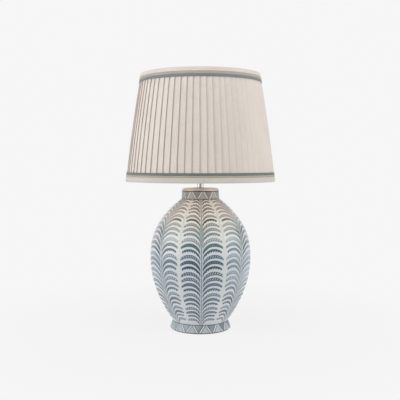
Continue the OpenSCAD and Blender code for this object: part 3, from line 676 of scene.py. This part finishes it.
# Painted reflection: towards the sides the neck band is painted over with a grey-blue, for the room that the
# glaze mirrors there.
neck_band = glaze.mix(off_front.rise(0.15, 0.22) * 0.45, neck_band, "8f9b9f")
print("Zigzag bands: 14 waves round the foot, 10 round the neck")

# %% [markdown]
# The second number of the map says where the foot band ends and the neck band begins.
# Inside, the vase is plainly glazed, and under the foot its clay is bare.

# %% Finishes of the vase
above_foot, on_neck = height.above(0.0), height.above(BODY_ROWS)
skin = glaze.mix(on_neck, glaze.mix(above_foot, foot_band, fronds), neck_band)
cloud = glaze.noise(9, 3.0, place).rise(0.3, 0.7)
glaze.set({"Base Color": glaze.mix(cloud * 0.07, skin, "ffffff", "OVERLAY")})
on_body = above_foot * height.below(BODY_ROWS)
glaze.bump((leaf * on_body).flipped() * 0.7 + glaze.noise(420, 2.0, place) * 0.1, 0.5 * mm)

plain_glaze = Finish("plain_glaze", {"Roughness": 0.28, "Coat Weight": 0.3, "Coat Roughness": 0.1})
plain_glaze.set({"Base Color": plain_glaze.mix(plain_glaze.noise(30), "d9d6cf", "e6e3dd")})
plain_glaze.bump(plain_glaze.noise(90), 0.4 * mm)
biscuit = Finish("unglazed_clay", {"Roughness": 0.85})
biscuit.set({"Base Color": biscuit.mix(biscuit.noise(350, 4.0), "cfc6b8", "e0d8cb")})
biscuit.bump(biscuit.noise(900, 3.0), 0.3 * mm)
settle(vase, "lamp_base", "glazed_ceramic", "vase_body", glaze, biscuit, plain_glaze)

# %% [markdown]
# The cap on the neck is turned metal. Its wide edge is a quarter of an ellipse, ten millimetres across and
# nearly five high, above a short upright rim on the gasket, and its spigot reaches down into the neck.
# It is a satin champagne gold, a little cloudy. Its colour is painted darker in the middle than at its left
# and right sides: a painted reflection of the dim front and the bright sides of the room.

# %% Neck cap
CAP_Z, CAP_TOP, CAP_R, CAP_EDGE = 331.3 * mm, 336.7 * mm, 44.05 * mm, 10 * mm
RIM_ROUND, RIM_H, SPIGOT_Z = 0.4 * mm, 0.8 * mm, 325.5 * mm
SPIGOT_R, SPIGOT_WALL, ROD_WAY, PLATE = 37.9 * mm, 1.6 * mm, 5.15 * mm, 2.2 * mm
rim = arc((CAP_R - RIM_ROUND, CAP_Z + RIM_ROUND), RIM_ROUND, RIM_ROUND, -90, 0, 4)
crown = arc((CAP_R - CAP_EDGE, CAP_Z + RIM_H), CAP_EDGE, CAP_TOP - CAP_Z - RIM_H, 0, 90, 26)
spigot_inner = SPIGOT_R - SPIGOT_WALL
spigot = [(ROD_WAY, CAP_TOP - PLATE), (spigot_inner, CAP_TOP - PLATE)]
spigot += [(spigot_inner, SPIGOT_Z), (SPIGOT_R, SPIGOT_Z), (SPIGOT_R, CAP_Z)]
cap_profile = np.concatenate([spigot, rim, crown, [(ROD_WAY, CAP_TOP)]])
cap = surface("gilded_cap", turned(cap_profile, 192), ring=True)
keep_edges(cap, 30)
gold = Finish("antique_gold", {"Metallic": 0.6, "Coat Weight": 0.1, "Coat Roughness": 0.3})
flat_place = gold.stretched(gold.place(), (1, 1, 0))
lathe_marks = gold.node("VectorMath", {0: flat_place, 1: (0, 0, -0.04)}, operation="ADD")
gold.set({"Anisotropic": 0.85, "Tangent": lathe_marks.outputs["Vector"]})
sideways = gold.value("SeparateXYZ", "X", {"Vector": gold.place()}) / (2 * CAP_R) + 0.5
# Painted reflection: these tones run from left to right across the cap, lighter at both sides and darker in
# the middle.
painted_reflection_tones = [(0.0, "fbf5ec"), (0.22, "f0e0c0"), (0.5, "d6c9b8"), (0.78, "f9e7dd"), (1.0, "fff8f4")]
gold.set({"Base Color": gold.palette(sideways + (gold.noise(22, 2.0) - 0.5) * 0.3, painted_reflection_tones)})
gold.set({"Roughness": gold.noise(55, 3.0) * 0.16 + 0.42})
gold.bump(gold.noise(700, 2.0), 0.08 * mm)
settle(cap, "lamp_base", "antique_gold", "neck_cap", gold)

# %% [markdown]
# The shade is a fabric cover, knife-pleated and stretched between two wire rings.
# Its outer surface leans inwards and bows a little, and every layer under it follows the same radius.

# %% Outline of the shade
SHADE_Z, SHADE_H, BOW = 352.7 * mm, 252.6 * mm, 2.5 * mm
SHADE_BOTTOM_R, SHADE_TOP_R = 178 * mm, 141.8 * mm
TRIM_T, TRIM_GAP = 0.8 * mm, 0.1 * mm
COVER_Z, COVER_TOP = SHADE_Z + 0.95 * mm, SHADE_Z + SHADE_H - 0.95 * mm


def shade_radius(z):
    """A straight lean from bottom to top plus a bow: 4 b t (1 - t), with t the share of the height."""
    t = (z - SHADE_Z) / SHADE_H
    return SHADE_BOTTOM_R + (SHADE_TOP_R - SHADE_BOTTOM_R) * t + 4 * BOW * t * (1 - t)


print("Shade radius at its ends", [round(shade_radius(z) / mm, 1) for z in (SHADE_Z, SHADE_Z + SHADE_H)])

# %% [markdown]
# A knife pleat is one strip of cloth folded flat on itself: it runs along the face, slips under the next
# fold, turns back, and comes out over the next face, so that three layers lie over each other at the lap.
# The strip has one width, so the laps are wider at the top, where the faces are narrower. The folds look
# to the right, away from the stronger light, so each draws a shadow.
# The cloth is one closed line per height: s runs clockwise in millimetres from the fold, and rise is how
# far the cloth stands above the lowest layer.

# %% Section of one pleat
STRIP_MM, CREST_MM, FOLD_MM, TUCK_MM = 22.9, 2.2, 0.6, 0.3


def bend(s, rise, radius, degrees):
    """(s, rise) of points on a half circle: the centre plus radius times cosine and sine."""
    turn = np.radians(degrees)
    return s + radius * np.cos(turn), rise + radius * np.sin(turn)


def pleat_section(pitch, lap):
    """(s, rise) of one pleat, all in mm: the face, which falls as its share to the power 1.1, the
    strip under the next fold, the tuck, the strip back, and the fold itself.
    pitch and lap are arrays over levels and pleats; the result has one more axis, along the cloth."""
    pitch, lap = pitch[..., None], lap[..., None]
    share = np.array([0.04, 0.12, 0.26, 0.44, 0.62, 0.79, 0.93])
    stretches = (
        (FOLD_MM + (pitch - FOLD_MM) * share, CREST_MM * (1 - share**1.1)),
        (pitch + lap * np.array([0.0, 0.45]), 0.0),
        bend(pitch + lap - TUCK_MM, TUCK_MM, TUCK_MM, [-90, -40, 10, 55, 90]),
        (pitch + lap * 0.6, 0.7),
        bend(pitch + FOLD_MM, CREST_MM - FOLD_MM, FOLD_MM, [270, 225, 180, 135, 90]),
    )
    s = np.concatenate([part for part, _ in stretches], -1)
    return s, np.concatenate([rise + 0 * part for part, rise in stretches], -1)


print("One pleat is a strip of", STRIP_MM, "mm on the face and in the lap")

# %% [markdown]
# Hand-set folds are never quite even, so each one strays a little from its place and sways on its way up.

# %% Set out the folds
PLEATS, LEVELS, PLEAT_START = 66, 14, 0.33
dice_box = np.random.default_rng(66)
fold_turn = 2 * np.pi * (np.arange(PLEATS) - PLEAT_START) / PLEATS
fold_turn += np.radians(0.32) * dice_box.uniform(-1, 1, PLEATS)
levels = np.linspace(COVER_Z, COVER_TOP, LEVELS)
sway = np.outer(levels - COVER_Z, dice_box.uniform(8, 22, PLEATS)) + dice_box.uniform(0, 6, PLEATS)
folds = fold_turn + np.radians(0.07) * np.sin(sway)
gap_turn = np.diff(np.concatenate([folds, folds[:, :1] + 2 * np.pi], 1), axis=1)
crest_mm = (shade_radius(levels) - TRIM_T - TRIM_GAP) / mm
pitch_mm = gap_turn * crest_mm[:, None]
lap_mm = np.maximum((STRIP_MM - pitch_mm) / 2, 2.2)
along, rise = pleat_section(pitch_mm, lap_mm)
for name, lengths in (("Pitch", pitch_mm), ("Lap", lap_mm)):
    print(name, lengths.min().round(1), "to", lengths.max().round(1), "mm")

# %% [markdown]
# The line of cloth is wrapped clockwise round the shade, and its columns are then put in the other order,
# so that the faces look outwards. The map of the piece is the flat cloth, in metres along the strip and up
# it. The weave is drawn on that map, so it folds with the pleats.
# Each point also carries a number, lap_share, that is 0 on the open face and 1 inside the lap.

# %% Build the pleated cloth
CLOTH_T, SLANT = 0.4 * mm, 1.01
cloth_r = (crest_mm[:, None, None] - CREST_MM - 0.25 + rise) * mm
cloth_turn = -folds[:, :, None] - along / crest_mm[:, None, None]
cloth_r, cloth_turn = (grid.reshape(LEVELS, -1)[:, ::-1] for grid in (cloth_r, cloth_turn))
cloth_points = wrapped(cloth_r, cloth_turn, levels[:, None])
closed_line = np.concatenate([cloth_points, cloth_points[:, :1]], 1)
steps = np.linalg.norm(np.diff(closed_line, axis=1), axis=-1)
strip_run = np.concatenate([np.zeros((LEVELS, 1)), np.cumsum(steps, 1)], 1)
cloth_map = np.stack([strip_run, (levels - COVER_Z)[:, None] * SLANT + 0 * strip_run], -1)
pleated = surface("pleated_cloth", cloth_points, "cloth_map", cloth_map)
thicken(pleated, CLOTH_T)
# Painted shade for each point of one pleat: none on the open face, full in the lap, and a little round the
# fold.
in_lap = np.array([0, 0, 0, 0, 0, 0.1, 0.55, 1, 1, 1, 1, 1, 1, 1, 1, 0.9, 0.5, 0.1, 0, 0])
in_laps = np.tile(np.tile(in_lap, PLEATS)[::-1], LEVELS).astype(np.float32)
pleated.data.attributes.new("lap_share", "FLOAT", "POINT").data.foreach_set("value", in_laps)

# %% [markdown]
# The cover is an ivory slub fabric, matt with a little sheen. Warp and weft are two waves on the flat map,
# and the slubs, the thicker threads here and there, are noise drawn out along the thread.
# Where one pleat slips under the next, and round each fold, the cloth is painted darker with its lap_share:
# painted shade in the crease.


# %% Woven cloth
def woven(name, tones, thread, slub, roughness=0.9, sheen=0.15, ribs=1.0, crease_shade=None):
    """Cloth on its own map. Threads repeat every `thread` metres, and the height is the larger of two
    sine waves, with slubs on it."""
    cloth = Finish(name, {"Roughness": roughness, "Specular IOR Level": 0.25})
    cloth.set({"Sheen Weight": sheen, "Sheen Roughness": 0.5})
    along, up = cloth.own_map("cloth_map")
    flat = cloth.node("CombineXYZ", {"X": along, "Y": up}).outputs[0]
    warp = (along * (2 * math.pi / thread)).math("SINE") * 0.5 + 0.5
    weft = (up * (2 * math.pi / thread * ribs)).math("SINE") * 0.5 + 0.5
    lengthwise = cloth.noise(1.0, 2.0, cloth.stretched(flat, (1400, 45, 1)))
    crosswise = cloth.noise(1.0, 2.0, cloth.stretched(flat, (40, 1500, 1)))
    mottle = lengthwise * 0.5 + crosswise * 0.35 + cloth.noise(14, 3.0, flat) * 0.3 - 0.1
    tone = cloth.palette(mottle, list(zip((0.3, 0.5, 0.7), tones)))
    # Painted shade: where the cloth lies in a lap, its colour is mixed towards the given dark tone.
    if crease_shade:
        lap = cloth.value("Attribute", "Fac", attribute_name="lap_share")
        tone = cloth.mix(lap * 0.42, tone, crease_shade)
    cloth.set({"Base Color": tone})
    cloth.bump(warp.at_least(weft) * 0.5 + lengthwise * slub + crosswise * slub, 0.22 * mm)
    return cloth


# a0938a is the tone of the shade painted into the laps.
ivory = woven("pleated_ivory_cloth", ("e0d5cd", "eae1d9", "f1e9e2"), 0.7 * mm, 0.9, crease_shade="a0938a")
settle(pleated, "shade", "pleated_cloth", "pleated_cover", ivory)

# %% [markdown]
# Inside the cover is a smooth lining, glued to the wires: a plain cone of cloth, bright and warm, that one
# sees from below. Like the cover, it is one surface with a live thickness.

# %% Lining
PLEAT_DEPTH, PLEAT_CLOTH, WIRE_R, FIT = 2.3 * mm, 0.5 * mm, 1.9 * mm, 0.15 * mm
BOTTOM_WIRE_Z, TOP_WIRE_Z = COVER_Z + WIRE_R, COVER_TOP - WIRE_R
LINING_COLUMNS, LINING_MEAN_R = 160, 152 * mm


def wire_radius(z):
    """Centre of the ring wires: inside the cover's chords by a fit and the wire's own radius."""
    inner = shade_radius(z) - (TRIM_T + TRIM_GAP + PLEAT_DEPTH + PLEAT_CLOTH)
    return inner * math.cos(math.pi / PLEATS) - (FIT + WIRE_R)


def lining_radius(z):
    """A straight line between the two wire rings, inside them by the wire's radius and two fits."""
    share = (z - BOTTOM_WIRE_Z) / (TOP_WIRE_Z - BOTTOM_WIRE_Z)
    bottom, top = wire_radius(BOTTOM_WIRE_Z), wire_radius(TOP_WIRE_Z)
    return bottom + (top - bottom) * share - (WIRE_R + 2 * FIT)


lining_z = np.linspace(COVER_Z, COVER_TOP, 12)
lining_profile = np.stack([lining_radius(lining_z) - CLOTH_T / 2, lining_z], -1)
lining_around = np.arange(LINING_COLUMNS + 1) / LINING_COLUMNS * 2 * math.pi * LINING_MEAN_R
lining_map = np.stack(np.broadcast_arrays(lining_around[None], lining_z[:, None]), -1)
lining = surface("inner_lining", turned(lining_profile, LINING_COLUMNS), "cloth_map", lining_map)
thicken(lining, CLOTH_T)
pale_cloth = woven("lining_cloth", ("e4ddd0", "eee8dd", "f4efe6"), 0.6 * mm, 0.5)
settle(lining, "shade", "lining", "shade_lining", pale_cloth)

# %% [markdown]
# Both edges are closed with a cream binding that folds over the rim, and next to it lie an olive and a
# blue ribbon. Each trim is a band that follows the cover, drawn in a little between the folds below it.

# %% Shapes of bindings and ribbons
TRIM_COLUMNS, PRESS = PLEATS * 6, 0.12 * mm


def band(name, heights, radii):
    """A band over a profile of heights and radii, in the trim's middle surface, with its flat map in
    metres. It is drawn in by up to PRESS, as a saw wave of the angle like the pleats below it."""
    turn = full_turn(TRIM_COLUMNS)
    saw = (turn * PLEATS / (2 * np.pi) - PLEAT_START) % 1.0
    points = wrapped(radii[:, None] - PRESS * (1 - saw), turn, heights[:, None])
    run = np.arange(TRIM_COLUMNS + 1) / TRIM_COLUMNS * 2 * np.pi * float(radii.mean())
    up = np.concatenate([[0], np.cumsum(np.hypot(np.diff(heights), np.diff(radii)))])
    flat_map = np.stack(np.broadcast_arrays(run[None], up[:, None]), -1)
    piece = surface(name, points, "cloth_map", flat_map)
    thicken(piece, TRIM_T - 0.1 * mm)
    wide, long = float(up[-1]), float(run[-1])
    print(f"{name} is cut {wide / mm:.1f} mm wide and {long:.3f} m long")
    return piece, (wide, long)


def outer_leg(z):
    """Middle of a trim that lies on the pleats, half its thickness inside the shade's outline."""
    return shade_radius(z) - TRIM_T / 2 - 0.02 * mm


def inner_leg(z):
    """Middle of a binding inside the lining, by the lining's thickness, a fit and half its own."""
    return lining_radius(z) - (CLOTH_T + FIT) - TRIM_T / 2


def folded_edge(edge, tip, sign):
    """Heights and radii of a binding: up the inner leg, over the rim, and along the outer leg.
    sign is 1 at the bottom edge and -1 at the top one."""
    rim_z = edge + sign * TRIM_T / 2
    leg_z = rim_z + sign * 0.5 * mm
    inner_z, outer_z = np.linspace(tip, leg_z, 5), np.linspace(leg_z, tip, 6)
    rim_r = inner_leg(rim_z) + (outer_leg(rim_z) - inner_leg(rim_z)) * np.array([0.12, 0.5, 0.88])
    heights = np.concatenate([inner_z, np.full(3, rim_z), outer_z])
    return heights, np.concatenate([inner_leg(inner_z), rim_r, outer_leg(outer_z)])


print("Trims follow the pleats to", PRESS / mm, "mm")

# %% [markdown]
# The ribbons' edges are measured up from the shade's bottom or down from its top. The bottom binding's
# profile starts on the inner leg, so its faces already look outwards; the top one runs the other way round
# the rim, so its faces are turned over.

# %% Build bindings and ribbons
SHADE_TOP_Z, H_MM = SHADE_Z + SHADE_H, SHADE_H / mm
trims = {
    "bottom_binding": band("bottom_binding_cloth", *folded_edge(SHADE_Z, SHADE_Z + 11.9 * mm, 1)),
    "top_binding": band("top_binding_cloth", *folded_edge(SHADE_TOP_Z, SHADE_TOP_Z - 9.0 * mm, -1)),
}
trims["top_binding"][0].data.flip_normals()
for name, low_mm, high_mm in (
    ("bottom_olive_ribbon", 11.9, 16.4),
    ("bottom_blue_ribbon", 16.4, 21.9),
    ("top_olive_ribbon", H_MM - 15.4, H_MM - 9.0),
    ("top_blue_ribbon", H_MM - 21.3, H_MM - 15.4),
):
    ribbon_z = SHADE_Z + np.linspace(low_mm + 0.05, high_mm - 0.05, 4) * mm
    trims[name] = band(name + "_cloth", ribbon_z, outer_leg(ribbon_z))

# %% [markdown]
# The lower trims get darker, greyer tones of their own: painted shade, for the lower edge of the shade
# lying in less light than the top.
# The ribbons are grosgrain, with ribs across the width.

# %% Finishes of the trims
binding = {"thread": 0.8 * mm, "slub": 0.5, "roughness": 0.75, "sheen": 0.2}
ribbon = {"thread": 1.1 * mm, "slub": 0.4, "roughness": 0.65, "sheen": 0.25, "ribs": 0.4}
trim_cloths = {
    "top_binding": woven("cream_binding_cloth", ("e0d3cd", "e9ddd7", "f0e5e0"), **binding),
    # Painted shade: the lower binding and ribbons are darker copies of the upper ones.
    "bottom_binding": woven("lower_shaded_binding_cloth", ("cdc8bd", "d7d2c8", "e0dbd1"), **binding),
    "bottom_olive_ribbon": woven("olive_ribbon_cloth", ("a6a18f", "b3ae9b", "c0bba8"), **ribbon),
    "top_olive_ribbon": woven("upper_olive_cloth", ("a9a292", "b6af9d", "c3bba9"), **ribbon),
    "top_blue_ribbon": woven("blue_ribbon_cloth", ("737c82", "7f898f", "8e979d"), **ribbon),
    "bottom_blue_ribbon": woven("lower_shaded_ribbon_cloth", ("666f6d", "717a76", "7e8783"), **ribbon),
}
trim_slots = {"binding": "cream_binding", "olive_ribbon": "olive_ribbon", "blue_ribbon": "blue_ribbon"}
for name, (piece, flat) in trims.items():
    settle(piece, "shade", trim_slots[name.split("_", 1)[1]], name, trim_cloths[name])

# %% [markdown]
# The bulb's globe is opal glass. In the CAD source it is drawn with few steps, which is enough for its
# size, but from above one looks straight down on it, so it gets a smooth profile: a neck that swells
# into a ball.

# %% Bulb globe
GLOBE_Z, BULB_TOP, BULB_R, BULB_NECK, GLASS = 431.95 * mm, 499.55 * mm, 30 * mm, 17 * mm, 1 * mm
JOIN = 40
centre_z = BULB_TOP - BULB_R
join_r, join_z = BULB_R * math.cos(math.radians(JOIN)), centre_z - BULB_R * math.sin(math.radians(JOIN))
up_neck = np.linspace(0, 1, 12)[:-1]
bulb_neck_r = BULB_NECK + (join_r - BULB_NECK) * up_neck**2.5
bulb_neck = np.stack([bulb_neck_r, GLOBE_Z + (join_z - GLOBE_Z) * up_neck], -1)
ball = arc((0, centre_z), BULB_R, BULB_R, -JOIN, 90, 30)
hollow = arc((0, centre_z), BULB_R - GLASS, BULB_R - GLASS, 90, -JOIN, 30)
globe_profile = np.concatenate([bulb_neck, ball, hollow, bulb_neck[::-1] - (GLASS, 0)])
globe = surface("opal_globe", turned(globe_profile, 96), ring=True)
merge_poles(globe)
opal = Finish("opal_glass", {"Roughness": 0.22, "Coat Weight": 0.4, "Coat Roughness": 0.08})
opal.set({"Base Color": opal.mix(opal.noise(60, 3.0), "f3f1eb", "faf8f3")})
opal.bump(opal.noise(1500, 1.0), 0.03 * mm)
settle(globe, "lamp_base", "opal_glass", "bulb_globe", opal)

# %% [markdown]
# The other solids have the right shapes already, so they keep their meshes and only get finishes.
# Metals, mouldings and soft stuffs differ in a few numbers, so three short recipes cover them.


# %% Recipes for metals, mouldings and soft stuffs
def metal(name, tones, roughness, grain, depth_mm, stretch=(1, 1, 1), rim="ffffff"):
    """Bare metal: a colour that clouds between two tones, and fine polishing marks drawn out along
    one axis. rim is the tint of what it mirrors at a grazing angle."""
    made = Finish(name, {"Metallic": 1.0, "Specular Tint": rim})
    marks = made.noise(grain, 3.0, made.stretched(made.place(), stretch))
    made.set({"Base Color": made.mix(made.noise(45, 3.0), *tones)})
    made.set({"Roughness": marks * 0.12 + (roughness - 0.06)})
    made.bump(marks, depth_mm * mm)
    return made


def moulding(name, tones, roughness, grain, depth_mm, coat=0.0):
    """Moulded plastic, rubber or powder coat: a faint drift of colour and an even grain."""
    made = Finish(name, {"Coat Weight": coat, "Coat Roughness": 0.2})
    made.set({"Base Color": made.mix(made.noise(60, 3.0), *tones)})
    made.set({"Roughness": made.noise(grain * 0.3, 2.0) * 0.1 + (roughness - 0.05)})
    made.bump(made.noise(grain, 2.0), depth_mm * mm)
    return made


def pressed_fibre(name, tones, grain, depth_mm):
    """Felt or cork: two sizes of fleck, mixed by contrast, and a rough surface."""
    made = Finish(name, {"Roughness": 0.95, "Sheen Weight": 0.2})
    coarse = made.noise(grain, 5.0)
    made.set({"Base Color": made.palette(coarse, list(zip((0.35, 0.5, 0.65), tones)))})
    made.bump(coarse * 0.6 + made.noise(grain * 3, 2.0) * 0.4, depth_mm * mm)
    return made


print("Recipes: metal, moulding, pressed_fibre")

# %% [markdown]
# Each row below is one finish of the real lamp: its recipe and tones, how rough it is, how many grains lie
# in a metre, and how deep they are in millimetres. Felt and cork are always rough, so they give no roughness.
# Fourteen separate networks would do the same, but rows are easier to compare and to correct.
# The nickel's marks are drawn out along Z, because the stem was polished lengthwise.

# %% Finishes of the solids
recipes = {
    "polished_nickel": (metal, ("a5a29e", "b1aeaa"), 0.16, 900, 0.01, (1, 1, 0.05), "9a9794"),
    "zinc_steel": (metal, ("a9adae", "c2c4c1"), 0.38, 600, 0.05),
    "brass_contact": (metal, ("b99a56", "cdb06c"), 0.3, 700, 0.03),
    "bulb_metal": (metal, ("bcbcba", "cfcfcd"), 0.28, 800, 0.02),
    "white_holder": (moulding, ("e3e0d8", "ebe8e1"), 0.42, 1200, 0.03, 0.15),
    "insulator": (moulding, ("d8d2c6", "e2ddd3"), 0.6, 900, 0.06),
    "bulb_black_glass": (moulding, ("141416", "1e1e21"), 0.15, 500, 0.02, 0.5),
    "bulb_collar": (moulding, ("e6e4de", "efede8"), 0.45, 1500, 0.03),
    "led_board": (moulding, ("d9d9cf", "e6e6da"), 0.55, 800, 0.04),
    "grommet_rubber": (moulding, ("cfccc4", "dad7d0"), 0.6, 1100, 0.04),
    "gasket_rubber": (moulding, ("33343a", "3d3e44"), 0.7, 1000, 0.05),
    "frame_white": (moulding, ("dedcd6", "e9e7e2"), 0.5, 1400, 0.05),
    "felt": (pressed_fibre, ("4b4f55", "5b6066", "6d7278"), 700, 0.4),
    "cork": (pressed_fibre, ("8a6038", "b08350", "c99f6c"), 450, 0.3),
}
finishes = {name: recipe(name, *numbers) for name, (recipe, *numbers) in recipes.items()}
print("Finishes:", ", ".join(finishes))

# %% [markdown]
# The record names a material slot for each solid, so the solids can be dressed by reading it:
# every node that is still shown takes the finish whose name is its slot.

# %% Dress the solids that stay
slot_of = {row["node"]: row["material_slot"] for row in frame["record"]["subparts"]}
for node_name, solid in frame["nodes"].items():
    if solid.hide_render:
        continue
    solid.data.materials.clear()
    solid.data.materials.append(finishes[slot_of[node_name]].material)
print("Dressed", sum(not o.hide_render for o in frame["nodes"].values()), "solids of the frame")
